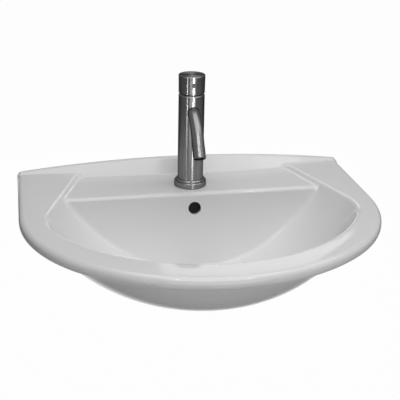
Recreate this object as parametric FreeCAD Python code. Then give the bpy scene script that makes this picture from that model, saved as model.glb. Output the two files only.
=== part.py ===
import FreeCAD, Part
import math
import os

V = FreeCAD.Vector

# The row's frame: X along the wall, front faces -Y, wall plane y = 0, Z up, and the origin
# midway between the two wall holes. Heights named "from the rim" count from the rim's flat top.
rim_z = 85.0

# Basin: overall plan. The front is one arc, its radius a little over half the width, blended
# by two arcs into straight sides.
basin_w = 600.0
basin_d = 462.0
front_bow = 25.0
side_blend_r = 254.0
rim_corner_r = 4.0
lip_h = 24.0
lip_roll_r = 10.0
crown_w = 36.0
crown_r = 200.0
rim_wall_t = 13.0

# Well: the outline sunk into the rim, holding the tap deck at the back and the bowl in front.
# Its place is set by the width of the rim that it leaves at the sides, in front and behind.
rim_side = 43.0
rim_front = 46.0
rim_back = 18.0
well_slant = 18.4
well_front_r_per_half = 1.09
well_blend_r_per_half = 0.39
well_corner_r_per_half = 0.10
well_edge_r = 9.0

# Bowl: depth to the floor, and how quickly each side closes in towards the drain.
bowl_deep = 135.0
bowl_floor_share = 0.988
side_close = 0.40
front_close = 0.34
rear_close = 0.42
crease_r = 10.0

# Deck: how far it lies below the rim, its front edge, and the bowl's curved back wall.
deck_drop = 5.5
deck_front = 129.0
deck_edge_r = 7.0
back_wall_tilt = 9.0
back_wall_sag_r = 560.0
deck_under = 25.0

# Upstand: the splash lip along the wall, with a long shallow arch and a face sloped at 45 deg.
upstand_h = 19.0
upstand_t = 7.0
upstand_end_h = 1.0
upstand_edge_r = 8.0
upstand_foot_r = 5.0

# Outer shell of the bowl, below the rim: how far it stands outside the well, and the casting's
# thickness at the drain.
shell_side = 5.0
shell_front = 4.0
shell_back = 112.0
outlet_t = 22.0

# Back plate with the two wall holes, and the cheeks that tie it to the bowl.
plate_w = 404.0
plate_t = 16.0
plate_drop = 40.0
plate_corner_r = 12.0
cheek_t = 14.0
cheek_deep = 70.0
cheek_foot = 25.0
shell_lap = 8.0
wall_hole_r = 9.0
wall_hole_spacing = 280.0

# Drain, overflow hole and the duct cast behind the bowl.
drain_y = -205.0
outlet_bore_r = 23.0
outlet_boss_r = 36.0
seat_r = 33.0
seat_drop = 3.0
overflow_r = 11.2
overflow_from_rim = 32.0
overflow_run = 20.0
duct_w = 34.0
duct_t = 7.0
duct_wall = 5.5
duct_back = 18.0
duct_lap = 6.0
duct_corner_r = 6.0

# Tap: axis, and the hole in the deck.
tap_y = -85.0
tap_hole_r = 17.5
tap_top = 193.0
body_r = 22.5
groove_z = 160.5
groove_gap = 0.6
groove_cut = 2.0
knob_top_r = 22.9
ring_r = 28.2
ring_inner_r = 21.0
ring_step_r = 25.4
ring_low_h = 9.0
ring_h = 14.0
gasket_t = 1.0
slide_gap = 0.1

# Tap inside: water ways, cartridge and knob fixing.
inlet_x = 7.8
inlet_y = -6.0
inlet_r = 5.0
inlet_deep = 14.0
way_r = 3.2
outlet_way_y = -9.8
port_r = 2.6
port_deep = 4.0
cartridge_z = 143.0
cartridge_r = 13.0
cartridge_foot_h = 8.8
cartridge_neck_r = 9.8
cartridge_top = 168.0
cartridge_nut_r = 17.1
nut_hex_h = 6.0
spindle_r = 4.5
spindle_low = 155.0
spindle_top = 183.0
spindle_flat = 0.9
knob_hollow_r = 19.0
knob_hollow_top = 171.0
grub_z = 179.0
grub_r = 2.5
grub_l = 8.0
hex_socket_r = 1.44
hex_socket_deep = 3.0
index_r = 4.0
index_deep = 3.0
index_proud = 0.35

# Spout: a tube that leaves the body falling at the first angle and bends to the second.
spout_r = 10.5
spout_bore_r = 7.8
spout_root_z = 131.0
spout_fall = 22.0
spout_end_fall = 56.0
spout_bend_r = 80.0
spout_straight = 38.5
spigot_r = 8.6
spigot_deep = 8.0
spigot_wall = 2.0
throat_r = 5.0
throat_deep = 6.0
housing_r = 10.8
housing_l = 19.0
housing_seam = 0.25
housing_wall = 1.5
insert_deep = 12.0
insert_l = 9.0
insert_floor_t = 2.5
insert_wall = 1.5
jet_r = 0.75
jet_ring_r = (2.9, 5.6)

# Tap fixing under the deck.
stud_r = 4.0
stud_y = 11.0
stud_grip = 12.0
stud_below = 32.0
clamp_r = 24.0
clamp_front = 17.0
clamp_slot = 13.6
clamp_slot_y = -9.0
washer_t = 3.0
clamp_t = 2.5
nut_h = 8.0
nut_r = 7.5

# Waste: flange, tail, seals, nut and the push plug.
flange_r = 32.0
flange_t = 3.0
flange_cup_r = 29.0
cup_deep = 5.5
tail_r = 20.95
tail_bore_r = 18.0
tail_below = 27.0
relief_w = 1.5
relief_r = 20.2
seal_t = 1.5
lower_seal_t = 3.5
lock_nut_h = 9.0
lock_nut_r = 30.0
lock_nut_rib = 2.5
slot_w = 17.0
spider_up = 26.0
spider_h = 5.0
spider_arm_w = 3.2
clicker_r = 6.0
clicker_thread = 2.0
clicker_room = 9.8
stem_r = 2.0
stem_gap = 0.06
stem_in_plug = 1.5
plug_r = 27.5
plug_t = 3.0
plug_dome = 3.0
plug_seal_r = 24.5
plug_seal_in = 4.0
plug_gap = 0.7

# Sizes that follow from the ones above, all in plan from the wall or in height from the rim.
front_r = basin_w / 2 + front_bow
crown_turn = math.asin((crown_w - lip_roll_r) / (crown_r - lip_roll_r))
crown_out = crown_w - crown_r * math.sin(crown_turn)
crown_drop = crown_r * (1 - math.cos(crown_turn))
well_w = basin_w - 2 * rim_side
well_front = rim_front
well_back = rim_back
arch_rise = upstand_h - upstand_end_h
arch_r = ((basin_w / 2) ** 2 + arch_rise**2) / (2 * arch_rise)
shell_w = well_w + 2 * shell_side
shell_deep = bowl_deep + outlet_t
floor_z = -bowl_deep * bowl_floor_share
duct_rear = -deck_front + duct_back
tail_end = -shell_deep - tail_below
spider_z = tail_end + spider_up


def z_at(from_rim):
    return rim_z + from_rim


def cylinder(r, x, y, z0, z1):
    return Part.makeCylinder(r, z1 - z0, V(x, y, z0))


def box(x0, x1, y0, y1, z0, z1):
    return Part.makeBox(x1 - x0, y1 - y0, z1 - z0, V(x0, y0, z0))


def arc(p, q, r):
    return Part.Arc(p, q, r).toShape()


def line(p, q):
    return Part.LineSegment(p, q).toShape()


def plan_wire(half, front, rear, z, r_front, r_blend, slant, r_corner):
    """Closed outline at height z, symmetric about x = 0: a straight rear edge at y = rear, sides
    that lean outwards by slant degrees, blends, and one arc through (0, front)."""
    n = V(math.cos(math.radians(slant)), math.sin(math.radians(slant)), 0)
    c_front = V(0, front + r_front, 0)
    drop = math.sqrt((r_front - r_blend) ** 2 - (half - r_blend) ** 2)
    c_blend = V(half - r_blend, c_front.y - drop, 0)
    toward = (c_blend - c_front).normalize()
    p1 = c_front + toward * r_front
    p2 = c_blend + n * r_blend
    a1 = math.atan2(p1.y - c_blend.y, p1.x - c_blend.x)
    mid = (a1 + math.radians(slant)) / 2
    m12 = c_blend + V(math.cos(mid), math.sin(mid), 0) * r_blend
    cy = rear - r_corner
    c_corner = V(p2.x + (-r_corner - (cy - p2.y) * n.y) / n.x, cy, 0)
    p3 = c_corner + n * r_corner
    p4 = V(c_corner.x, rear, 0)
    mid = math.radians((slant + 90) / 2)
    m34 = c_corner + V(math.cos(mid), math.sin(mid), 0) * r_corner

    def at(p, side=1):
        return V(p.x * side, p.y, z)

    return Part.Wire([
        arc(at(p1, -1), V(0, front, z), at(p1)),
        arc(at(p1), at(m12), at(p2)),
        line(at(p2), at(p3)),
        arc(at(p3), at(m34), at(p4)),
        line(at(p4), at(p4, -1)),
        arc(at(p4, -1), at(m34, -1), at(p3, -1)),
        line(at(p3, -1), at(p2, -1)),
        arc(at(p2, -1), at(m12, -1), at(p1, -1)),
    ])


def well_wire(half, front, rear, z):
    return plan_wire(half, front, rear, z, well_front_r_per_half * half, well_blend_r_per_half * half,
                     well_slant, well_corner_r_per_half * half)


def rim_prism(inset, rear, z0, z1):
    wire = plan_wire(basin_w / 2 - inset, -basin_d + inset, rear, z0, front_r - inset,
                     side_blend_r - inset, 0, rim_corner_r)
    return Part.Face(wire).extrude(V(0, 0, z1 - z0))


def edges_where(shape, test):
    return [e for e in shape.Edges if test(e.BoundBox, e)]


def rim_band():
    """The crowned rim: one section, carried along the sides, the blends and the front arc. On top it
    falls outwards in a wide arc that turns into the roll of the lip."""
    half, c_front = basin_w / 2, V(0, -basin_d + front_r, 0)
    drop = math.sqrt((front_r - side_blend_r) ** 2 - (half - side_blend_r) ** 2)
    c_blend = V(half - side_blend_r, c_front.y - drop, 0)
    turn = math.degrees(math.atan2(c_blend.y - c_front.y, c_blend.x))
    low = -crown_drop - lip_roll_r * math.cos(crown_turn)
    mid = (crown_turn + math.pi / 2) / 2

    def at(inset, z):
        return V(half - inset, 0, z_at(z))

    inner, r = crown_w + 4, lip_roll_r
    section = Part.Face(Part.Wire([
        line(at(inner, 0), at(crown_w, 0)),
        arc(at(crown_w, 0), at(crown_w - crown_r * math.sin(crown_turn / 2), -crown_r * (1 - math.cos(crown_turn / 2))),
            at(crown_out, -crown_drop)),
        arc(at(crown_out, -crown_drop), at(r - r * math.sin(mid), low + r * math.cos(mid)), at(0, low)),
        line(at(0, low), at(0, r - lip_h)),
        arc(at(0, r - lip_h), at(r - r * math.sqrt(0.5), r - lip_h - r * math.sqrt(0.5)), at(r, -lip_h)),
        line(at(r, -lip_h), at(inner, -lip_h)),
        line(at(inner, -lip_h), at(inner, 0)),
    ]))
    up = V(0, 0, 1)
    side = section.extrude(V(0, c_blend.y, 0))
    section.translate(V(0, c_blend.y, 0))
    blend = section.revolve(c_blend, up, turn)
    section.rotate(c_blend, up, turn)
    front = section.revolve(c_front, up, -180 - 2 * turn)
    runs = [side, blend]
    return front.fuse(runs + [run.mirror(V(0, 0, 0), V(1, 0, 0)) for run in runs]).removeSplitter()


def rim_slab():
    """The rim and the flat top inside it, cut square where it meets the wall, hollow underneath."""
    slab = rim_band().fuse(rim_prism(crown_w + 2, 30, z_at(-lip_h), z_at(0))).removeSplitter()
    slab = slab.cut(box(-basin_w, basin_w, 0, 60, z_at(-60), z_at(60)))
    hollow = rim_prism(rim_wall_t, -rim_wall_t, z_at(-lip_h - 5), z_at(-rim_wall_t))
    return slab.cut(hollow)


def dish():
    """The well and the bowl as one smooth form, closing towards the drain."""
    side, front, rear = well_w / 2, basin_d - well_front + drain_y, -drain_y - well_back
    wires = []
    for t in (-0.07, 0.0, 0.12, 0.3, 0.5, 0.7, 0.86, 0.95, bowl_floor_share):
        left = 1 - t
        wires.append(well_wire(side * left**side_close, drain_y - front * left**front_close,
                               drain_y + rear * left**rear_close, z_at(-bowl_deep * t)))
    return Part.makeLoft(wires, True, False)


def deck_block():
    """Everything the bowl's dish leaves standing: the deck, its rounded front edge and the
    bowl's leaning, slightly hollowed back wall."""
    lean = math.radians(back_wall_tilt)
    r = deck_edge_r
    top = z_at(-deck_drop)
    y_edge = -deck_front
    # The edge rounding turns from level down to the lean of the wall below it.
    c = V(0, y_edge + r, top - r)
    start = V(0, y_edge + r, top)
    end = c + V(0, -math.cos(lean), math.sin(lean)) * r
    half = (math.pi / 2 + lean) / 2
    mid = c + V(0, -math.sin(half), math.cos(half)) * r
    # The wall below is one long arc that leans further out the deeper it goes.
    out = V(0, -math.cos(lean), math.sin(lean))
    centre = end + out * back_wall_sag_r
    sweep = math.asin((bowl_deep + 6) / back_wall_sag_r)
    ang = math.atan2(-out.z, -out.y)

    def on_wall(a):
        return centre + V(0, math.cos(ang + a), math.sin(ang + a)) * back_wall_sag_r

    foot = on_wall(-sweep) if on_wall(-sweep).z < end.z else on_wall(sweep)
    half_way = on_wall(-sweep / 2) if on_wall(-sweep).z < end.z else on_wall(sweep / 2)
    back = 40.0
    wire = Part.Wire([
        line(V(0, back, top), start),
        arc(start, mid, end),
        arc(end, half_way, foot),
        line(foot, V(0, back, foot.z)),
        line(V(0, back, foot.z), V(0, back, top)),
    ])
    face = Part.Face(wire)
    face.translate(V(-basin_w / 2, 0, 0))
    return face.extrude(V(basin_w, 0, 0))


def crease_edges(shape):
    """The run of edges where the dish meets the deck, the deck's edge and the back wall."""
    return edges_where(shape, lambda b, e: b.ZMin > z_at(-bowl_deep + 2) and b.ZMax < z_at(-deck_drop) + 0.1
                       and b.YMin > drain_y + 5 and e.Curve.TypeId != "Part::GeomLine")


def bowl_cutter():
    hollow = dish().cut(deck_block())
    return hollow.makeFillet(crease_r, crease_edges(hollow))


def upstand():
    """The splash lip: one arched face pushed back to the wall and forward down a 45 deg slope,
    so the slope follows the arch along its whole width."""
    half, low = basin_w / 2, -rim_wall_t - 1
    zc = upstand_h - arch_r
    r = lip_roll_r
    c = V(half - r, 0, zc + math.sqrt((arch_r - r) ** 2 - (half - r) ** 2))
    n = (c - V(0, 0, zc)).normalize()
    touch = V(0, 0, zc) + n * arch_r
    ang = math.atan2(n.z, n.x) / 2
    mid = c + V(math.cos(ang), 0, math.sin(ang)) * r

    def at(p, side=1):
        return V(p.x * side, -upstand_t, z_at(p.z))

    foot = V(half, 0, low)
    side = V(half, 0, c.z)
    wire = Part.Wire([
        arc(at(touch, -1), V(0, -upstand_t, z_at(upstand_h)), at(touch)),
        arc(at(touch), at(mid), at(side)),
        line(at(side), at(foot)),
        line(at(foot), at(foot, -1)),
        line(at(foot, -1), at(side, -1)),
        arc(at(side, -1), at(mid, -1), at(touch, -1)),
    ])
    face = Part.Face(wire)
    flat = face.extrude(V(0, upstand_t + 20, 0))
    run = upstand_h - low + 1
    slope = face.extrude(V(0, -run, -run))
    body = flat.fuse(slope).removeSplitter()
    brow = edges_where(body, lambda b, e: abs(b.YMin + upstand_t) < 0.1 and b.YLength < 0.1
                       and b.ZMin > z_at(-10))
    body = body.makeFillet(upstand_edge_r, brow)
    return body.common(box(-basin_w, basin_w, -60, 0, z_at(low + 1), z_at(60)))


def shell():
    """Outside of the bowl: wider and rounder than the dish inside it, flat under the drain."""
    side, rear = shell_w / 2, -drain_y - shell_back
    front = basin_d - rim_front + shell_front + drain_y
    wires = []
    for t in (0.06, 0.2, 0.38, 0.56, 0.72, 0.86, 0.95, 0.99):
        wires.append(well_wire(side * (1 - t**1.5)**0.47, drain_y - front * (1 - t**2.2)**0.56,
                               drain_y + rear * (1 - t**2.5)**0.5, z_at(-shell_deep * t)))
    return Part.makeLoft(wires, True, False)


def back_frame():
    """Deck pad, back plate and the two cheeks that tie the plate to the bowl."""
    half, top = plate_w / 2, z_at(-rim_wall_t + 2)
    bottom = z_at(-rim_z - plate_drop)
    y_shell = -shell_back - shell_lap
    pad = box(-half, half, y_shell, 0, z_at(-deck_under), top)
    plate = box(-half, half, -plate_t, 0, bottom, top)
    plate = plate.makeFillet(plate_corner_r, edges_where(plate, lambda b, e: b.YLength > 1 and b.ZMax < bottom + 0.1))
    cheek = Part.Face(Part.makePolygon([
        V(0, -1, top), V(0, y_shell, top), V(0, y_shell, z_at(-cheek_deep)), V(0, -plate_t, bottom + cheek_foot),
        V(0, -1, bottom + cheek_foot), V(0, -1, top)])).extrude(V(cheek_t, 0, 0))
    parts = [plate]
    for x in (-half, half - cheek_t):
        side = cheek.copy()
        side.translate(V(x, 0, 0))
        parts.append(side)
    return pad.fuse(parts)


def outlet():
    """The boss round the waste hole and the duct lump that brings the overflow down to it."""
    low = z_at(-shell_deep)
    boss = cylinder(outlet_boss_r, 0, drain_y, low, z_at(-bowl_deep + 2))
    half = duct_w / 2 + duct_wall
    rear = duct_rear + duct_wall
    down = box(-half, half, -deck_front - duct_lap, rear, low, z_at(-rim_wall_t - duct_lap))
    under = box(-half, half, drain_y, rear, low, z_at(-bowl_deep + duct_lap))
    lump = down.fuse(under).removeSplitter()
    lump = lump.makeFillet(duct_corner_r, edges_where(lump, lambda b, e: abs(b.YMin - rear) < 0.1 and b.YLength < 0.1
                                          and (b.ZLength > 20 or b.ZMax < low + 0.1)))
    return boss, lump


def duct_hollow():
    """Overflow hole, square to the back wall, and the channel behind it down to the waste bore."""
    half = duct_w / 2
    rear = duct_rear
    low = z_at(-shell_deep + duct_wall)
    down = box(-half, half, rear - duct_t, rear, low, z_at(-overflow_from_rim + overflow_r + 1))
    under = box(-half, half, drain_y + outlet_bore_r - duct_lap, rear, low, low + duct_t)
    lean = math.radians(back_wall_tilt + 2)
    axis = V(0, -math.cos(lean), math.sin(lean))
    start = V(0, rear - duct_t / 2, z_at(-overflow_from_rim) - overflow_run * math.tan(lean))
    hole = Part.makeCylinder(overflow_r, 3 * overflow_run, start, axis)
    return down.fuse([under, hole])


def well_rim_edges(body):
    """The upper edge of the well, at the height of the rim."""
    half, top = well_w / 2 + 2, z_at(0)
    return edges_where(body, lambda b, e: abs(b.ZMin - top) < 0.05 and abs(b.ZMax - top) < 0.05
                       and -half < b.XMin and b.XMax < half and b.YMax < -well_back + 1
                       and b.YMin > -basin_d + well_front - 2)


def foot_of_upstand(body):
    """The inner corner all along the bottom of the upstand's slope."""
    def on_slope(p):
        x = p.x
        top = upstand_h - arch_r + math.sqrt(arch_r**2 - x * x)
        return abs((p.z - z_at(top)) - (p.y + upstand_t)) < 0.1

    def picked(b, e):
        pts = [e.valueAt(e.FirstParameter + (e.LastParameter - e.FirstParameter) * k) for k in (0, 0.5, 1)]
        return all(on_slope(p) and z_at(-deck_drop - 1) < p.z < z_at(0.1) and abs(p.x) < basin_w / 2 - crown_out + 0.1 for p in pts) \
            and e.Length > 1.0 and b.XLength > 0.5
    return edges_where(body, picked)


def basin():
    rim = rim_slab()
    boss, lump = outlet()
    body = rim.fuse([shell(), back_frame(), boss, lump])
    body = body.cut(bowl_cutter())
    body = body.makeFillet(min(well_edge_r, 1.3 * (rim_side - crown_w)), well_rim_edges(body))
    body = body.fuse(upstand())
    body = body.makeFillet(upstand_foot_r, foot_of_upstand(body))
    holes = [cylinder(tap_hole_r, 0, tap_y, z_at(-60), z_at(10)),
             cylinder(outlet_bore_r, 0, drain_y, z_at(-shell_deep - 5), z_at(floor_z + 2)),
             cylinder(seat_r, 0, drain_y, z_at(floor_z - seat_drop), z_at(floor_z + 5)),
             duct_hollow()]
    for x in (-wall_hole_spacing / 2, wall_hole_spacing / 2):
        holes.append(Part.makeCylinder(wall_hole_r, plate_t + 4, V(x, 2, 0), V(0, -1, 0)))
    return body.cut(holes)


# Tap ---------------------------------------------------------------------------------------

deck_z = z_at(-deck_drop)
ring_z = deck_z + gasket_t


def tube(r, r_in, x, y, z0, z1):
    return cylinder(r, x, y, z0, z1).cut(cylinder(r_in, x, y, z0 - 1, z1 + 1))


def turned(profile, x, y):
    """A turned piece from (radius, z) points, about the upright axis through (x, y)."""
    pts = [V(r, 0, z) for r, z in profile]
    face = Part.Face(Part.makePolygon(pts + [pts[0]]))
    solid = face.revolve(V(0, 0, 0), V(0, 0, 1), 360)
    solid.translate(V(x, y, 0))
    return solid


def hexagon(r, x, y, z0, z1):
    pts = [V(x + r * math.cos(math.radians(60 * k)), y + r * math.sin(math.radians(60 * k)), z0)
           for k in range(6)]
    return Part.Face(Part.makePolygon(pts + [pts[0]])).extrude(V(0, 0, z1 - z0))


def base_gasket():
    return tube(ring_r - 0.8, tap_hole_r + 1, 0, tap_y, deck_z, ring_z)


def base_ring():
    """Two-step escutcheon, its lower edge square on the deck and its shoulders eased."""
    top = ring_z + ring_h - gasket_t
    step = ring_z + ring_low_h
    return turned([(ring_inner_r, ring_z), (ring_r, ring_z), (ring_r, step - 1.2), (ring_r - 1.0, step),
                   (ring_step_r, step), (ring_step_r, top - 1.8), (ring_step_r - 1.6, top),
                   (ring_inner_r, top)], 0, tap_y)


def spout_points():
    """Centre line of the spout in the plane x = 0: root on the body, end of bend, mouth."""
    a, b = math.radians(spout_fall), math.radians(spout_end_fall)
    root = V(0, tap_y - body_r, z_at(spout_root_z))
    bend = root + V(0, -(math.sin(b) - math.sin(a)), -(math.cos(a) - math.cos(b))) * spout_bend_r
    way = V(0, -math.cos(b), -math.sin(b))
    return root, bend, bend + way * spout_straight, V(0, -math.cos(a), -math.sin(a)), way


def along_spout(r, back, stop):
    """Solid rod along the spout's centre line, from back behind the root to stop short of the mouth."""
    root, bend, mouth, way_in, way_out = spout_points()
    m = math.radians((spout_fall + spout_end_fall) / 2)
    a = math.radians(spout_fall)
    mid = root + V(0, -(math.sin(m) - math.sin(a)), -(math.cos(a) - math.cos(m))) * spout_bend_r
    start = root - way_in * back
    path = Part.Wire([line(start, root), arc(root, mid, bend), line(bend, mouth - way_out * stop)])
    ring = Part.Wire([Part.makeCircle(r, start, way_in)])
    return path.makePipeShell([ring], True, False)


def tap_body():
    """Solid pillar: spigot in the base ring, water ways up to the cartridge seat, socket for the
    spout, and the top edge cut back to make half of the groove under the knob."""
    shoulder = ring_z + ring_h - gasket_t
    top = z_at(groove_z - groove_gap / 2)
    body = turned([(0, ring_z), (ring_inner_r - slide_gap, ring_z), (ring_inner_r - slide_gap, shoulder),
                   (body_r, shoulder), (body_r, top - groove_cut), (body_r - groove_cut, top), (0, top)],
                  0, tap_y)
    seat = z_at(cartridge_z)
    nut_seat = seat + cartridge_foot_h
    cuts = [cylinder(cartridge_r + slide_gap, 0, tap_y, seat, top + 1),
            cylinder(cartridge_nut_r + slide_gap, 0, tap_y, nut_seat, top + 1)]
    for x in (-inlet_x, inlet_x):
        cuts.append(cylinder(inlet_r, x, tap_y + inlet_y, ring_z - 1, ring_z + inlet_deep))
        cuts.append(cylinder(way_r, x, tap_y + inlet_y, ring_z + inlet_deep - 1, seat + 1))
    cuts.append(cylinder(way_r, 0, tap_y + outlet_way_y, z_at(spout_root_z), seat + 1))
    cuts.append(cylinder(stud_r, 0, tap_y + stud_y, ring_z - 1, ring_z + stud_grip + 1))
    root, _, _, way_in, _ = spout_points()
    cuts.append(Part.makeCylinder(spigot_r, spigot_deep + 5, root - way_in * spigot_deep, way_in))
    throat = spigot_deep + throat_deep
    cuts.append(Part.makeCylinder(throat_r, throat, root - way_in * throat, way_in))
    return body.cut(cuts)


def spout():
    root, _, _, way_in, _ = spout_points()
    skin = along_spout(spout_r, spigot_deep + 4, housing_l)
    skin = skin.cut(cylinder(body_r, 0, tap_y, deck_z, z_at(tap_top)))
    spigot = Part.makeCylinder(spigot_r - slide_gap, spigot_deep + 2, root - way_in * (spigot_deep - slide_gap),
                               way_in)
    bore = along_spout(spigot_r - spigot_wall, spigot_deep + 6, housing_l - 2)
    return skin.fuse(spigot).removeSplitter().cut(bore)


def mouth_frame(depth):
    """Point on the spout's axis this far in from the mouth, and the way the water leaves."""
    _, _, mouth, _, way = spout_points()
    return mouth - way * depth, way


def aerator_housing():
    """Sleeve screwed on the end of the spout: seam line at its top, plain bore at the mouth."""
    start, way = mouth_frame(housing_l - housing_seam)
    skin = Part.makeCylinder(housing_r, housing_l - housing_seam, start, way)
    ends = edges_where(skin, lambda b, e: e.Curve.TypeId == "Part::GeomCircle")
    skin = skin.makeFillet(0.5, ends)
    deep, _ = mouth_frame(insert_deep)
    bore = Part.makeCylinder(housing_r - housing_wall, insert_deep + 1, deep, way)
    neck = Part.makeCylinder(spigot_r - spigot_wall, housing_l + 2, start - way, way)
    return skin.cut([bore, neck])


def aerator_insert():
    """Jet regulator: a short cup with rings of small holes, set back inside its housing."""
    start, way = mouth_frame(insert_deep - slide_gap)
    outside = housing_r - housing_wall - slide_gap
    cup = Part.makeCylinder(outside, insert_l, start, way)
    hollow = Part.makeCylinder(outside - insert_wall, insert_l - insert_floor_t, start, way)
    across = V(1, 0, 0)
    up = way.cross(across)
    face = start + way * (insert_l - insert_floor_t - 1)
    holes = []
    for n, ring in enumerate(jet_ring_r, 1):
        for k in range(6 * n):
            a = math.pi * k / (3 * n)
            at = face + across * (ring * math.cos(a)) + up * (ring * math.sin(a))
            holes.append(Part.makeCylinder(jet_r, insert_floor_t + 2, at, way))
    return cup.cut([hollow] + holes)


def cartridge():
    """Ceramic-disc cartridge: wide foot on the seat with three ports, neck up into the knob."""
    seat = z_at(cartridge_z)
    foot, top = seat + cartridge_foot_h, z_at(cartridge_top)
    body = turned([(0, seat), (cartridge_r, seat), (cartridge_r, foot), (cartridge_neck_r, foot),
                   (cartridge_neck_r, top), (0, top)], 0, tap_y)
    cuts = [cylinder(spindle_r + slide_gap, 0, tap_y, z_at(spindle_low), top + 1)]
    for x, y in ((-inlet_x, inlet_y), (inlet_x, inlet_y), (0, outlet_way_y)):
        cuts.append(cylinder(port_r, x, tap_y + y, seat - 1, seat + port_deep))
    return body.cut(cuts)


def cartridge_nut():
    """Threaded ring that holds the cartridge down, with a hexagon to turn it by."""
    low = z_at(cartridge_z) + cartridge_foot_h
    mid = z_at(groove_z) - nut_hex_h / 4
    ring = cylinder(cartridge_nut_r, 0, tap_y, low, mid)
    head = hexagon(cartridge_nut_r - 1.0, 0, tap_y, mid, mid + nut_hex_h)
    return ring.fuse(head).cut(cylinder(cartridge_neck_r + slide_gap, 0, tap_y, low - 1, mid + nut_hex_h + 1))


def cartridge_spindle():
    """Turning stem, with the flat that the grub screw bears on."""
    stem = cylinder(spindle_r, 0, tap_y, z_at(spindle_low) + slide_gap, z_at(spindle_top))
    flat = box(-spindle_r - 1, spindle_r + 1, tap_y - 2 * spindle_r, tap_y - spindle_r + spindle_flat,
               z_at(grub_z) - grub_r - 1.5, z_at(spindle_top) + 1)
    return stem.cut(flat)


def knob():
    """Cap on top of the pillar: lower edge cut back for the groove, deep hollow for the nut,
    and a side hole for the grub screw closed by the index."""
    low, top = z_at(groove_z + groove_gap / 2), z_at(tap_top)
    side_r = body_r
    cap = turned([(0, low), (side_r - groove_cut, low), (side_r, low + groove_cut), (knob_top_r, top - 0.8),
                  (knob_top_r - 0.8, top), (0, top)], 0, tap_y)
    cuts = [cylinder(knob_hollow_r, 0, tap_y, low - 1, z_at(knob_hollow_top)),
            cylinder(spindle_r + 0.02, 0, tap_y, low, z_at(spindle_top + 0.5)),
            Part.makeCylinder(grub_r, knob_top_r, V(0, tap_y, z_at(grub_z)), V(0, -1, 0)),
            Part.makeCylinder(index_r, index_deep + 2, V(0, tap_y - knob_top_r + index_deep, z_at(grub_z)),
                              V(0, -1, 0))]
    return cap.cut(cuts)


def knob_screw():
    """Grub screw with a hexagon socket, its tip on the spindle's flat."""
    tip = tap_y - spindle_r + spindle_flat
    screw = Part.makeCylinder(grub_r, grub_l, V(0, tip, z_at(grub_z)), V(0, -1, 0))
    pts = [V(hex_socket_r * math.cos(math.radians(60 * k)), 0, hex_socket_r * math.sin(math.radians(60 * k)))
           for k in range(6)]
    socket = Part.Face(Part.makePolygon(pts + [pts[0]])).extrude(V(0, -hex_socket_deep - 1, 0))
    socket.translate(V(0, tip - grub_l + hex_socket_deep, z_at(grub_z)))
    return screw.cut(socket)


def index_plug():
    """Round index button, its face following the knob's side."""
    stub = Part.makeCylinder(index_r - slide_gap, index_deep + 2,
                             V(0, tap_y - knob_top_r + index_deep, z_at(grub_z)), V(0, -1, 0))
    return stub.common(cylinder(body_r + index_proud, 0, tap_y, z_at(groove_z), z_at(tap_top)))


def fixing_stud():
    low = z_at(-deck_under - stud_below)
    return turned([(0, low), (stud_r - 0.8, low), (stud_r, low + 0.8), (stud_r, ring_z + stud_grip),
                   (0, ring_z + stud_grip)], 0, tap_y + stud_y)


def horseshoe(r, z0, z1, hole_r):
    """Open clamp plate: round at the back, cut square in front, slotted for the water inlets."""
    disc = cylinder(r, 0, tap_y, z0, z1)
    front = box(-r - 1, r + 1, tap_y - r - 1, tap_y - clamp_front, z0 - 1, z1 + 1)
    slot = box(-clamp_slot, clamp_slot, tap_y - r - 1, tap_y + clamp_slot_y, z0 - 1, z1 + 1)
    slot = slot.fuse(cylinder(clamp_slot, 0, tap_y + clamp_slot_y, z0 - 1, z1 + 1))
    return disc.cut([front, slot, cylinder(hole_r, 0, tap_y + stud_y, z0 - 1, z1 + 1)])


def clamp_washer():
    top = z_at(-deck_under)
    return horseshoe(clamp_r, top - washer_t, top, stud_r + slide_gap)


def clamp_plate():
    top = z_at(-deck_under) - washer_t
    return horseshoe(clamp_r - 0.5, top - clamp_t, top, stud_r + 0.3)


def fixing_nut():
    top = z_at(-deck_under) - washer_t - clamp_t
    return hexagon(nut_r, 0, tap_y + stud_y, top - nut_h, top).cut(
        cylinder(stud_r, 0, tap_y + stud_y, top - nut_h - 1, top + 1))


# Waste -------------------------------------------------------------------------------------

seat_z = z_at(floor_z - seat_drop)
flange_z = seat_z + seal_t
flange_top = flange_z + flange_t
under_z = z_at(-shell_deep)
lock_low = under_z - lower_seal_t - lock_nut_h
plug_z = flange_top + plug_gap
clicker_top = plug_z - clicker_room


def waste_upper_seal():
    return tube(flange_r - 0.5, tail_r + slide_gap, 0, drain_y, seat_z, flange_z)


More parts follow.
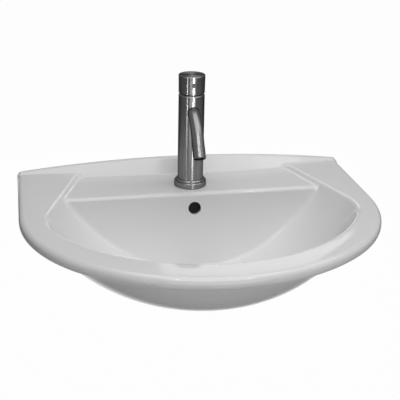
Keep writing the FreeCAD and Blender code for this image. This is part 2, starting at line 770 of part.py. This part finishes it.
def waste_body():
    """Flanged tail, dished at the top, with two overflow slots and a spider for the plug. A relief
    groove under the lock nut parts its thread from the trap's."""
    low, relief = z_at(tail_end), lock_low - 0.5
    body = turned([(tail_bore_r, low), (tail_r - 1.0, low), (tail_r, low + 1.0), (tail_r, relief - relief_w),
                   (relief_r, relief - relief_w), (relief_r, relief), (tail_r, relief),
                   (tail_r, flange_z), (flange_r, flange_z), (flange_r, flange_top - 1.0),
                   (flange_r - 1.0, flange_top), (flange_cup_r, flange_top),
                   (tail_bore_r, flange_top - cup_deep)], 0, drain_y)
    slot_low = under_z + duct_wall - 0.5
    slots = box(-slot_w / 2, slot_w / 2, drain_y - 2 * tail_r, drain_y + 2 * tail_r, slot_low, slot_low + duct_t + 1)
    z0 = z_at(spider_z)
    arms = [cylinder(clicker_r, 0, drain_y, z0, z0 + spider_h)]
    for k in range(3):
        arm = box(0, tail_bore_r + 1, -spider_arm_w / 2, spider_arm_w / 2, z0, z0 + spider_h)
        arm.rotate(V(0, 0, 0), V(0, 0, 1), 30 + 120 * k)
        arm.translate(V(0, drain_y, 0))
        arms.append(arm)
    body = body.cut(slots).fuse(arms).removeSplitter()
    return body.cut(cylinder(clicker_r - clicker_thread, 0, drain_y, z0 - 1, z0 + spider_h + 1))


def waste_lower_seal():
    return tube(lock_nut_r - 1.5, tail_r + slide_gap, 0, drain_y, under_z - lower_seal_t, under_z)


def waste_nut():
    """Lock nut: eight grip ribs round a threaded ring."""
    top = under_z - lower_seal_t
    ring = cylinder(lock_nut_r - lock_nut_rib, 0, drain_y, top - lock_nut_h, top)
    ring = ring.fuse(cylinder(lock_nut_r - 0.5, 0, drain_y, top - 2.0, top))
    ribs = []
    for k in range(8):
        rib = box(tail_r + 2, lock_nut_r, -3, 3, top - lock_nut_h, top - 1)
        rib.rotate(V(0, 0, 0), V(0, 0, 1), 45 * k + 22.5)
        rib.translate(V(0, drain_y, 0))
        ribs.append(rib)
    return ring.fuse(ribs).removeSplitter().cut(cylinder(tail_r, 0, drain_y, top - lock_nut_h - 1, top + 1))


def plug_clicker():
    """Push-push unit screwed down into the spider, bored for the plug's stem."""
    z0 = z_at(spider_z)
    hold = z0 + spider_h
    bore, thread = stem_r + stem_gap, clicker_r - clicker_thread
    return turned([(bore, z0), (thread, z0), (thread, hold), (clicker_r, hold),
                   (clicker_r, clicker_top - 1), (clicker_r - 1, clicker_top), (bore, clicker_top)], 0, drain_y)


def plug_stem():
    return cylinder(stem_r, 0, drain_y, z_at(spider_z), plug_z + stem_in_plug)


def waste_plug():
    """Domed push plug with a rolled edge, blind hole below for the stem."""
    r, z0 = plug_r, plug_z
    z1, z2 = z0 + plug_t, z0 + plug_t + plug_dome
    c = V(0, 0, z2 - (r * r + plug_dome**2) / (2 * plug_dome))
    dome_r = z2 - c.z
    a = math.asin(r / dome_r) / 2
    face = Part.Face(Part.Wire([
        line(V(0, 0, z0), V(r - 1, 0, z0)),
        arc(V(r - 1, 0, z0), V(r - 0.29, 0, z0 + 0.29), V(r, 0, z0 + 1)),
        line(V(r, 0, z0 + 1), V(r, 0, z1)),
        arc(V(r, 0, z1), V(dome_r * math.sin(a), 0, c.z + dome_r * math.cos(a)), V(0, 0, z2)),
        line(V(0, 0, z2), V(0, 0, z0))]))
    plug = face.revolve(V(0, 0, 0), V(0, 0, 1), 360)
    plug.translate(V(0, drain_y, 0))
    return plug.cut(cylinder(stem_r, 0, drain_y, z0 - 1, z0 + stem_in_plug))


def plug_seal():
    """Soft ring under the plug, just clear of the cup it closes."""
    inner = stem_r + plug_seal_in
    return turned([(inner, plug_z - 1.2), (plug_seal_r - 3, plug_z - 2.4), (plug_seal_r - 1, plug_z - 2.4),
                   (plug_seal_r, plug_z - 1.4), (plug_seal_r, plug_z), (inner, plug_z)], 0, drain_y)


NODES = (basin, base_gasket, base_ring, tap_body, spout, aerator_housing, aerator_insert, cartridge,
         cartridge_nut, cartridge_spindle, knob, knob_screw, index_plug, fixing_stud, clamp_washer,
         clamp_plate, fixing_nut, waste_upper_seal, waste_body, waste_lower_seal, waste_nut,
         plug_clicker, plug_stem, waste_plug, plug_seal)

os.makedirs("parts", exist_ok=True)
for node in NODES:
    shape = node()
    if shape.ShapeType == "Compound" and len(shape.Solids) == 1:
        shape = shape.Solids[0]
    print(node.__name__, shape.ShapeType, shape.isValid(), len(shape.Solids), round(shape.Volume / 1000, 1))
    shape.exportStep("parts/" + node.__name__ + ".step")
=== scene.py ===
import bpy, bmesh, math
from mathutils import Matrix, Vector


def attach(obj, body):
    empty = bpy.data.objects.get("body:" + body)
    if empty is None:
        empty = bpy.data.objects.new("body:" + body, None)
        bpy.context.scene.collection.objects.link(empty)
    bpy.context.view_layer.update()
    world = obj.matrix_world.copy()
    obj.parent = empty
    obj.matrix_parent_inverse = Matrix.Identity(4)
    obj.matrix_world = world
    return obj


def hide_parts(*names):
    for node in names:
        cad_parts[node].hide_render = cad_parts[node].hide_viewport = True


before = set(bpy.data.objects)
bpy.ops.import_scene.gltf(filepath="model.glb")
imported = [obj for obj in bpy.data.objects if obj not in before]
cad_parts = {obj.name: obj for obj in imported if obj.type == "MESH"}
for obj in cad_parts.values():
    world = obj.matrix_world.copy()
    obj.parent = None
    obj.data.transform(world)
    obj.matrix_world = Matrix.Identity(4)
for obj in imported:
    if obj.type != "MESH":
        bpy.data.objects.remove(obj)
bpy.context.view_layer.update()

# View ---------------------------------------------------------------------------------------
# The camera stands in front, a little to the basin's left, looks down at it from about 1.5 m and
# is turned very slightly on its own axis. Its lens and shift are counted in the frame's pixels.
turn, fall, twist = math.radians(11.97), math.radians(22.91), math.radians(1.45)
aim, reach = Vector((0, -0.2304, 0.085)), 1.4708
film_mm, frame_px, lens_px, shift_x_px, shift_y_px = 36.0, 400, 903.62, -6.35, 12.73
look = Vector((math.sin(turn) * math.cos(fall), math.cos(turn) * math.cos(fall), -math.sin(fall)))
across = Vector((math.cos(turn), -math.sin(turn), 0))
upward = across.cross(look)
across, upward = (across * math.cos(twist) + upward * math.sin(twist),
                  upward * math.cos(twist) - across * math.sin(twist))
lens = bpy.data.cameras.new("camera")
lens.sensor_width, lens.lens = film_mm, lens_px * film_mm / frame_px
lens.shift_x, lens.shift_y = shift_x_px / frame_px, shift_y_px / frame_px
eye = bpy.data.objects.new("camera", lens)
bpy.context.scene.collection.objects.link(eye)
facing = Matrix((across, upward, -look)).transposed().to_4x4()
eye.matrix_world = Matrix.Translation(aim - look * reach) @ facing
bpy.context.scene.camera = eye
bpy.context.scene.view_settings.view_transform = "Standard"

# Studio lamps -------------------------------------------------------------------------------
# A large soft lamp hangs overhead, helped by one above the camera, one on the right, a low one in
# front and a low one behind, which the camera doesn't see.
bowl_middle, rim_middle, tap_middle = (0, -0.2, 0), (0, -0.4, 0.085), (0, -0.08, 0.15)


def lamp(name, place, target, width, height, watts):
    """Hangs an oblong soft lamp at a place and turns it to its target."""
    light = bpy.data.lights.new(name, "AREA")
    light.shape, light.size, light.size_y, light.energy = "RECTANGLE", width, height, watts
    hung = bpy.data.objects.new(name, light)
    bpy.context.scene.collection.objects.link(hung)
    turned = (Vector(target) - Vector(place)).normalized().to_track_quat("-Z", "Y")
    hung.matrix_world = Matrix.Translation(place) @ turned.to_matrix().to_4x4()
    return hung


lamp("overhead_lamp", (0, -0.4, 2.3), bowl_middle, width=2.4, height=2.0, watts=25)
lamp("camera_lamp", (0, -2.2, 2.2), bowl_middle, width=2.0, height=1.2, watts=18)
lamp("right_lamp", (1.6, -0.6, 2.0), bowl_middle, width=1.4, height=1.4, watts=8)
lamp("low_lamp", (0, -2.6, -0.2), bowl_middle, width=2.4, height=0.8, watts=13)
behind_it = lamp("back_lamp", (0, 2.6, -0.1), (0, 0, 0), width=2.4, height=1.0, watts=14)
behind_it.visible_camera = False

# Glints that only gloss shows: a pale panel behind, which the front of the rim mirrors, and two
# small windows high in front.
for name, place, size, watts in (
        ("rim_panel", (0.85, 2.4, 1.95), 1.1, 5.5),
        ("left_window", (-0.75, -1.9, 2.3), 0.16, 2.0),
        ("right_window", (0.85, -1.9, 2.3), 0.16, 2.0)):
    glint = lamp(name, place, rim_middle, size, size, watts)
    glint.visible_diffuse = glint.visible_camera = False

# Two upright strips shine on the polished metal alone and draw bright lines down it.
polished = bpy.data.collections.new("polished_metal")
for name, place, width, watts in (
        ("front_strip", (0.24, -2.2, -0.1), 0.26, 26),
        ("left_strip", (-1.58, -1.58, -0.1), 0.08, 4)):
    strip = lamp(name, place, tap_middle, width, 1.0, watts)
    strip.visible_diffuse = strip.visible_camera = False
    strip.light_linking.receiver_collection = polished

# Room ---------------------------------------------------------------------------------------
# The room is white to the camera. In reflections and through glass it is a dim grey, and it gives
# only a trace of fill light.
room_in_gloss, fill_light, white = 0.35, 0.04, (1.0, 1.0, 1.0)


class Wire:
    """One socket of a node, which takes part in ordinary arithmetic."""

    def __init__(self, nodes, socket):
        self.nodes, self.socket = nodes, socket

    def maths(self, operation, *others):
        return self.nodes.node("ShaderNodeMath", {"operation": operation}, [self, *others])

    def __add__(self, other): return self.maths("ADD", other)
    def __radd__(self, other): return self.maths("ADD", other)
    def __sub__(self, other): return self.maths("SUBTRACT", other)
    def __mul__(self, other): return self.maths("MULTIPLY", other)
    def __rmul__(self, other): return self.maths("MULTIPLY", other)
    def __gt__(self, other): return self.maths("GREATER_THAN", other)
    def __lt__(self, other): return self.maths("LESS_THAN", other)

    def __rsub__(self, other):
        return self.nodes.node("ShaderNodeMath", {"operation": "SUBTRACT"}, [other, self])

    def ramp(self, low, high):
        """0 below low, 1 above high, smooth between."""
        return self.nodes.node("ShaderNodeMapRange", {"interpolation_type": "SMOOTHSTEP"}, {
            "Value": self, "From Min": low, "From Max": high, "To Min": 0.0, "To Max": 1.0})


class Nodes:
    """The nodes of a world or a material."""

    def __init__(self, owner):
        owner.use_nodes = True
        self.tree = owner.node_tree

    def put(self, socket, value):
        if isinstance(value, Wire):
            self.tree.links.new(value.socket, socket)
        else:
            if hasattr(value, "__len__") and len(value) == 3 and socket.type == "RGBA":
                value = (*value, 1.0)
            socket.default_value = value

    def node(self, kind, settings=None, sockets=None, out=0):
        made = self.tree.nodes.new(kind)
        for key, value in (settings or {}).items():
            setattr(made, key, value)
        pairs = sockets.items() if isinstance(sockets, dict) else enumerate(sockets or [])
        for key, value in pairs:
            self.put(made.inputs[key], value)
        return Wire(self, made.outputs[out])

    def rays(self):
        """Whether it is seen by the camera, mirrored in gloss, or seen through glass."""
        return [self.node("ShaderNodeLightPath", out=label)
                for label in ("Is Camera Ray", "Is Glossy Ray", "Is Transmission Ray")]


room = bpy.data.worlds.new("room")
bpy.context.scene.world = room
air = Nodes(room)
backdrop = room.node_tree.nodes["Background"]
in_view, in_gloss, through_glass = air.rays()
air.put(backdrop.inputs["Color"], white)
air.put(backdrop.inputs["Strength"],
        (in_view + room_in_gloss * (in_gloss + through_glass) + fill_light).maths("MINIMUM", 1.0))

# Floor --------------------------------------------------------------------------------------
# A floor at the usual height below a basin's rim, white to the camera with a trace of shadow. In
# reflections and light it is bright only behind the object. In front of it the floor is painted
# shade: a darker grey colour, and no glow in reflections. From below it isn't there.
rim_z, rim_above_floor, floor_half, floor_shift = 0.085, 0.85, 14.0, 6.0
floor_painted_shade_grey, floor_white, plain_white_share = (0.45, 0.45, 0.45), (0.82, 0.82, 0.82), 0.98
sweep_front, sweep_full, sweep_lean, sweep_half, sweep_edge = 0.1, 0.7, 0.2, 0.5, 1.2


class Finish(Nodes):
    """A material and the nodes in it."""

    def __init__(self, name, **surface):
        self.material = bpy.data.materials.new(name)
        super().__init__(self.material)
        self.shader = self.tree.nodes["Principled BSDF"]
        self.set(**surface)

    def set(self, **surface):
        for label, value in surface.items():
            self.put(self.shader.inputs[label.replace("_", " ")], value)

    def place(self, axis=None):
        """Where a point of the surface is on the object, in metres."""
        here = self.node("ShaderNodeTexCoord", out="Object")
        return here if axis is None else self.node("ShaderNodeSeparateXYZ", None, [here], out=axis)

    def grain(self, scale, detail=2.0, stretch=(1, 1, 1)):
        at = self.node("ShaderNodeMapping", None, {"Vector": self.place(), "Scale": stretch})
        return self.node("ShaderNodeTexNoise", None,
                         {"Vector": at, "Scale": scale, "Detail": detail}, out="Fac")

    def mix(self, share, one, other):
        return self.node(
            "ShaderNodeMix", {"data_type": "RGBA"}, {0: share, 6: one, 7: other}, out=2)

    def relief(self, height, depth):
        return self.node("ShaderNodeBump", None, {"Height": height, "Distance": depth})


sweep = bmesh.new()
bmesh.ops.create_grid(sweep, x_segments=1, y_segments=1, size=floor_half)
ground = bpy.data.meshes.new("floor")
sweep.to_mesh(ground)
sweep.free()
ground.transform(Matrix.Translation((0, floor_shift, rim_z - rim_above_floor)))
floor = bpy.data.objects.new("floor", ground)
bpy.context.scene.collection.objects.link(floor)
paint = Finish("floor_paint", Roughness=0.9)
# Painted shade: in front of the object the floor's colour falls to the darker grey, and its glow
# drops out of reflections.
aside = (paint.place("X") - sweep_lean * paint.place("Y")).maths("ABSOLUTE")
behind = paint.place("Y").ramp(sweep_front, sweep_full) * (1 - aside.ramp(sweep_half, sweep_edge))
paint.set(Base_Color=paint.mix(behind, floor_painted_shade_grey, floor_white))
in_view, in_gloss, through_glass = paint.rays()
seen = (in_view + (in_gloss + through_glass) * behind).maths("MINIMUM", 1.0)
painted = Wire(paint, paint.shader.outputs[0])
glow = paint.node("ShaderNodeEmission", None, {"Color": white, "Strength": 1.0})
top = paint.node("ShaderNodeMixShader", None, {0: seen * plain_white_share, 1: painted, 2: glow})
clear = paint.node("ShaderNodeBsdfTransparent")
below = paint.node("ShaderNodeNewGeometry", out="Backfacing")
paint.put(paint.tree.nodes["Material Output"].inputs["Surface"],
          paint.node("ShaderNodeMixShader", None, {0: below, 1: top, 2: clear}))
ground.materials.append(paint.material)

# Basin --------------------------------------------------------------------------------------
# One casting of vitreous china under a thick white glaze that pulled a little wavy in the kiln.
# The face that meets the wall is bare and dull. The overflow way is dull as bare clay too, and its
# near black colour is painted shade for that deep recess.
glaze_low, glaze_high = (0.86, 0.862, 0.858), (0.885, 0.885, 0.883)
clay_low, clay_high, overflow_painted_shade = (0.66, 0.63, 0.58), (0.76, 0.73, 0.68), (0.10, 0.098, 0.092)
way_front, way_inside, way_back, way_half = -0.129, -0.1265, -0.1105, 0.0173
way_low, way_top, bare_from, bare_full = -0.07, 0.066, -0.0009, -0.0002
wave_depth, glaze_rough, bare_rough_more = 0.00035, 0.07, 0.6
glaze = Finish("white_glaze", IOR=1.52)
across_it, out_of_wall, height = (glaze.place(axis) for axis in ("X", "Y", "Z"))
wall_face = out_of_wall.ramp(bare_from, bare_full)
overflow_way = (
    out_of_wall.ramp(way_front, way_inside) * (out_of_wall < way_back)
    * (across_it.maths("ABSOLUTE") < way_half) * (height < way_top) * (height > way_low))
bare = wall_face.maths("MAXIMUM", overflow_way)
wall_clay = glaze.mix(glaze.grain(160.0, detail=4.0), clay_low, clay_high)
# Painted shade: inside the overflow way the colour is near black, for the shade in that recess;
# elsewhere this is the bare clay of the wall face.
clay_and_painted_shade = glaze.mix(overflow_way, wall_clay, overflow_painted_shade)
skin = glaze.mix(glaze.grain(7.0, detail=3.0), glaze_low, glaze_high)
waves = glaze.grain(26.0, detail=1.0) + 0.06 * glaze.grain(240.0, detail=1.0)
glaze.set(
    Base_Color=glaze.mix(bare, skin, clay_and_painted_shade),
    Roughness=glaze_rough + 0.05 * glaze.grain(40.0, detail=3.0) + bare_rough_more * bare,
    Normal=glaze.relief(waves + 0.8 * bare * glaze.grain(900.0, detail=2.0), wave_depth))


def coat(node, finish):
    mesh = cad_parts[node].data
    mesh.materials.clear()
    mesh.materials.append(finish.material)


coat("basin", glaze)

# Pillar, base ring and knob -----------------------------------------------------------------
# Brass turned on a lathe and plated bright. The fine turning marks run round the pillar, so
# every light in the room is drawn out into a line down it.
plate_low, plate_high, plate_edge = (0.25, 0.25, 0.255), (0.28, 0.28, 0.285), (0.3, 0.3, 0.3)
drawn_out, drawn_way, mark_depth, round_it = 0.95, 0.25, 0.00001, (0.03, 0.03, 1)
plating = Finish("chrome_plate", Metallic=1.0, Specular_Tint=plate_edge,
                 Anisotropic=drawn_out, Anisotropic_Rotation=drawn_way)
turning_marks = plating.grain(600.0, detail=2.0, stretch=round_it)
plating.set(
    Base_Color=plating.mix(plating.grain(18.0, detail=3.0), plate_low, plate_high),
    Roughness=0.23 + 0.06 * plating.grain(60.0, detail=4.0),
    Normal=plating.relief(turning_marks + 4.0 * plating.grain(45.0, detail=1.0), mark_depth))
for name in ("tap_body", "base_ring", "knob"):
    coat(name, plating)
    polished.objects.link(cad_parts[name])

# The index is a small grey button pressed into the knob over its grub screw.
button = Finish("index_plastic", Base_Color=(0.16, 0.16, 0.165))
button.set(Roughness=0.25 + 0.15 * button.grain(300.0))
coat("index_plug", button)

# Spout and aerator --------------------------------------------------------------------------
# A bent tube brazed into the pillar and a screwed sleeve on its end, polished by hand and plated,
# so without the pillar's turning marks. The black jet regulator sits in its mouth.
tube_low, tube_high = (0.21, 0.21, 0.215), (0.24, 0.24, 0.245)
bent_tube = Finish("bent_tube_plate", Metallic=1.0, Specular_Tint=plate_edge)
bent_tube.set(
    Base_Color=bent_tube.mix(bent_tube.grain(18.0, detail=3.0), tube_low, tube_high),
    Roughness=0.22 + 0.08 * bent_tube.grain(60.0, detail=4.0))
for name in ("spout", "aerator_housing"):
    coat(name, bent_tube)
    polished.objects.link(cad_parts[name])
regulator = Finish("black_moulding", Base_Color=(0.02, 0.02, 0.022))
regulator.set(Roughness=0.35 + 0.2 * regulator.grain(300.0))
coat("aerator_insert", regulator)

# Cartridge and brass pieces -----------------------------------------------------------------
# The cartridge is a white moulded housing with a brass stem, held down in the pillar by a brass
# ring nut and hidden by the knob. The nut under the deck and the plug's works are plain brass too.
brass_low, brass_high = (0.70, 0.52, 0.24), (0.80, 0.64, 0.34)
housing = Finish("white_moulding", Base_Color=(0.78, 0.78, 0.76))
housing.set(Roughness=0.25 + 0.15 * housing.grain(200.0))
coat("cartridge", housing)
brass = Finish("plain_brass", Metallic=1.0)
brass.set(
    Base_Color=brass.mix(brass.grain(60.0, detail=4.0), brass_low, brass_high),
    Roughness=0.22 + 0.2 * brass.grain(150.0, detail=3.0))
for name in ("cartridge_nut", "cartridge_spindle", "fixing_nut", "plug_clicker", "plug_stem"):
    coat(name, brass)

# Fixing under the deck ----------------------------------------------------------------------
# Zinc plated steel: the clamp plate and the knob's grub screw plain, the stud a length of rod with
# an 8 mm thread rolled along all of it.
zinc_low, zinc_high = (0.52, 0.53, 0.53), (0.66, 0.66, 0.63)
stud_axis, stud_low, stud_top, stud_chamfer = Vector((0, -0.074, 0)), 0.028, 0.0925, 0.0006
stud_core, stud_crest, stud_pitch, stud_turns, stud_plain = 0.00345, 0.00398, 0.00125, 49, 0.0008
same_place, sharp_from = 1e-6, math.radians(30)
zinc = Finish("zinc_steel", Metallic=1.0)
zinc.set(
    Base_Color=zinc.mix(zinc.grain(90.0, detail=4.0), zinc_low, zinc_high),
    Roughness=0.3 + 0.2 * zinc.grain(120.0, detail=3.0))
for name in ("clamp_plate", "knob_screw"):
    coat(name, zinc)


def wind_thread(metal, axis, low, turns, core, crest, pitch):
    """Winds a ridge of triangular section up round the core, and closes its two ends."""
    steps_a_turn, root, gap = 24, core * 0.99, 0.02
    section = [metal.verts.new(axis + Vector((r, 0, low + share * pitch)))
               for r, share in ((root, gap), (crest, 0.5), (root, 1 - gap))]
    sides = [metal.edges.new((section[i], section[i - 1])) for i in range(3)]
    wound = bmesh.ops.spin(
        metal, geom=section + sides, cent=axis, axis=(0, 0, 1), dvec=(0, 0, pitch / steps_a_turn),
        angle=2 * math.pi * turns, steps=steps_a_turn * turns, use_merge=False)
    last = [part for part in wound["geom_last"] if isinstance(part, bmesh.types.BMEdge)]
    ridge = {face for side in sides for vert in side.verts for face in vert.link_faces}
    for end in (sides, last):
        bmesh.ops.contextual_create(metal, geom=end)
    walk = list(ridge)
    while walk:
        for edge in walk.pop().edges:
            for face in edge.link_faces:
                if face not in ridge:
                    ridge.add(face)
                    walk.append(face)
    bmesh.ops.recalc_face_normals(metal, faces=list(ridge))


def metal_piece(name, metal, finish, node):
    """Makes the shape a piece of the basin's fixed body, in place of the plain node."""
    mesh = bpy.data.meshes.new(name)
    metal.to_mesh(mesh)
    metal.free()
    mesh.shade_smooth()
    mesh.set_sharp_from_angle(angle=sharp_from)
    mesh.materials.append(finish.material)
    piece = bpy.data.objects.new(name, mesh)
    bpy.context.scene.collection.objects.link(piece)
    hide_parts(node)
    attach(piece, "basin_body")


rod = bmesh.new()
stud_middle = stud_axis + Vector((0, 0, (stud_low + stud_top) / 2))
bmesh.ops.create_cone(
    rod, cap_ends=True, segments=32, radius1=stud_core, radius2=stud_core,
    depth=stud_top - stud_low, matrix=Matrix.Translation(stud_middle))
rims = [edge for edge in rod.edges if abs(edge.verts[0].co.z - edge.verts[1].co.z) < same_place]
bmesh.ops.bevel(
    rod, geom=rims, offset=stud_chamfer, segments=1, profile=0.5, affect="EDGES", material=-1)
wind_thread(rod, stud_axis, stud_low + stud_plain, stud_turns, stud_core, stud_crest, stud_pitch)
metal_piece("threaded_stud", rod, zinc, "fixing_stud")

# Waste and plug -----------------------------------------------------------------------------
# Brass, turned and plated like the tap. The tail has an 11 to the inch pipe thread for the trap
# cut into it below the lock nut; above the nut it keeps its full thickness.
waste_low, waste_high = (0.36, 0.36, 0.365), (0.40, 0.40, 0.405)
tail_axis, tail_r, tail_low, tail_thread_top = Vector((0, -0.205, 0)), 0.02095, -0.099, -0.0864
tail_core, tail_crest, tail_pitch, tail_turns = 0.0197, 0.02093, 0.0254 / 11, 4
tail_plain, tail_end, tail_wall = 0.0007, 0.0005, 0.0004
waste_plate = Finish("waste_plate", Metallic=1.0)
waste_plate.set(
    Base_Color=waste_plate.mix(waste_plate.grain(18.0, detail=3.0), waste_low, waste_high),
    Roughness=0.10 + 0.08 * waste_plate.grain(60.0, detail=4.0))
for name in ("waste_nut", "waste_plug"):
    coat(name, waste_plate)
tail = bmesh.new()
tail.from_mesh(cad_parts["waste_body"].data)
bmesh.ops.remove_doubles(tail, verts=tail.verts, dist=same_place)
turned_down = [vert for vert in tail.verts if vert.co.z < tail_thread_top and (
    (vert.co - tail_axis).xy.length > tail_r - tail_wall
    or vert.co.z < tail_low + tail_end and (vert.co - tail_axis).xy.length > tail_core)]
bmesh.ops.scale(tail, vec=(tail_core / tail_r, tail_core / tail_r, 1),
                space=Matrix.Translation(-tail_axis), verts=turned_down)
wind_thread(tail, tail_axis, tail_low + tail_plain, tail_turns, tail_core, tail_crest, tail_pitch)
metal_piece("threaded_waste", tail, waste_plate, "waste_body")

# Seals --------------------------------------------------------------------------------------
# Black rubber: the gasket under the tap, the horseshoe under the deck, and the seals of the waste
# and its plug.
rubber_low, rubber_high, rubber_depth = (0.022, 0.022, 0.022), (0.045, 0.045, 0.044), 0.0001
rubber = Finish("black_rubber")
rubber.set(
    Base_Color=rubber.mix(rubber.grain(120.0, detail=4.0), rubber_low, rubber_high),
    Roughness=0.65 + 0.2 * rubber.grain(200.0, detail=3.0),
    Normal=rubber.relief(rubber.grain(700.0, detail=2.0), rubber_depth))
for name in ("base_gasket", "clamp_washer", "waste_upper_seal", "waste_lower_seal", "plug_seal"):
    coat(name, rubber)
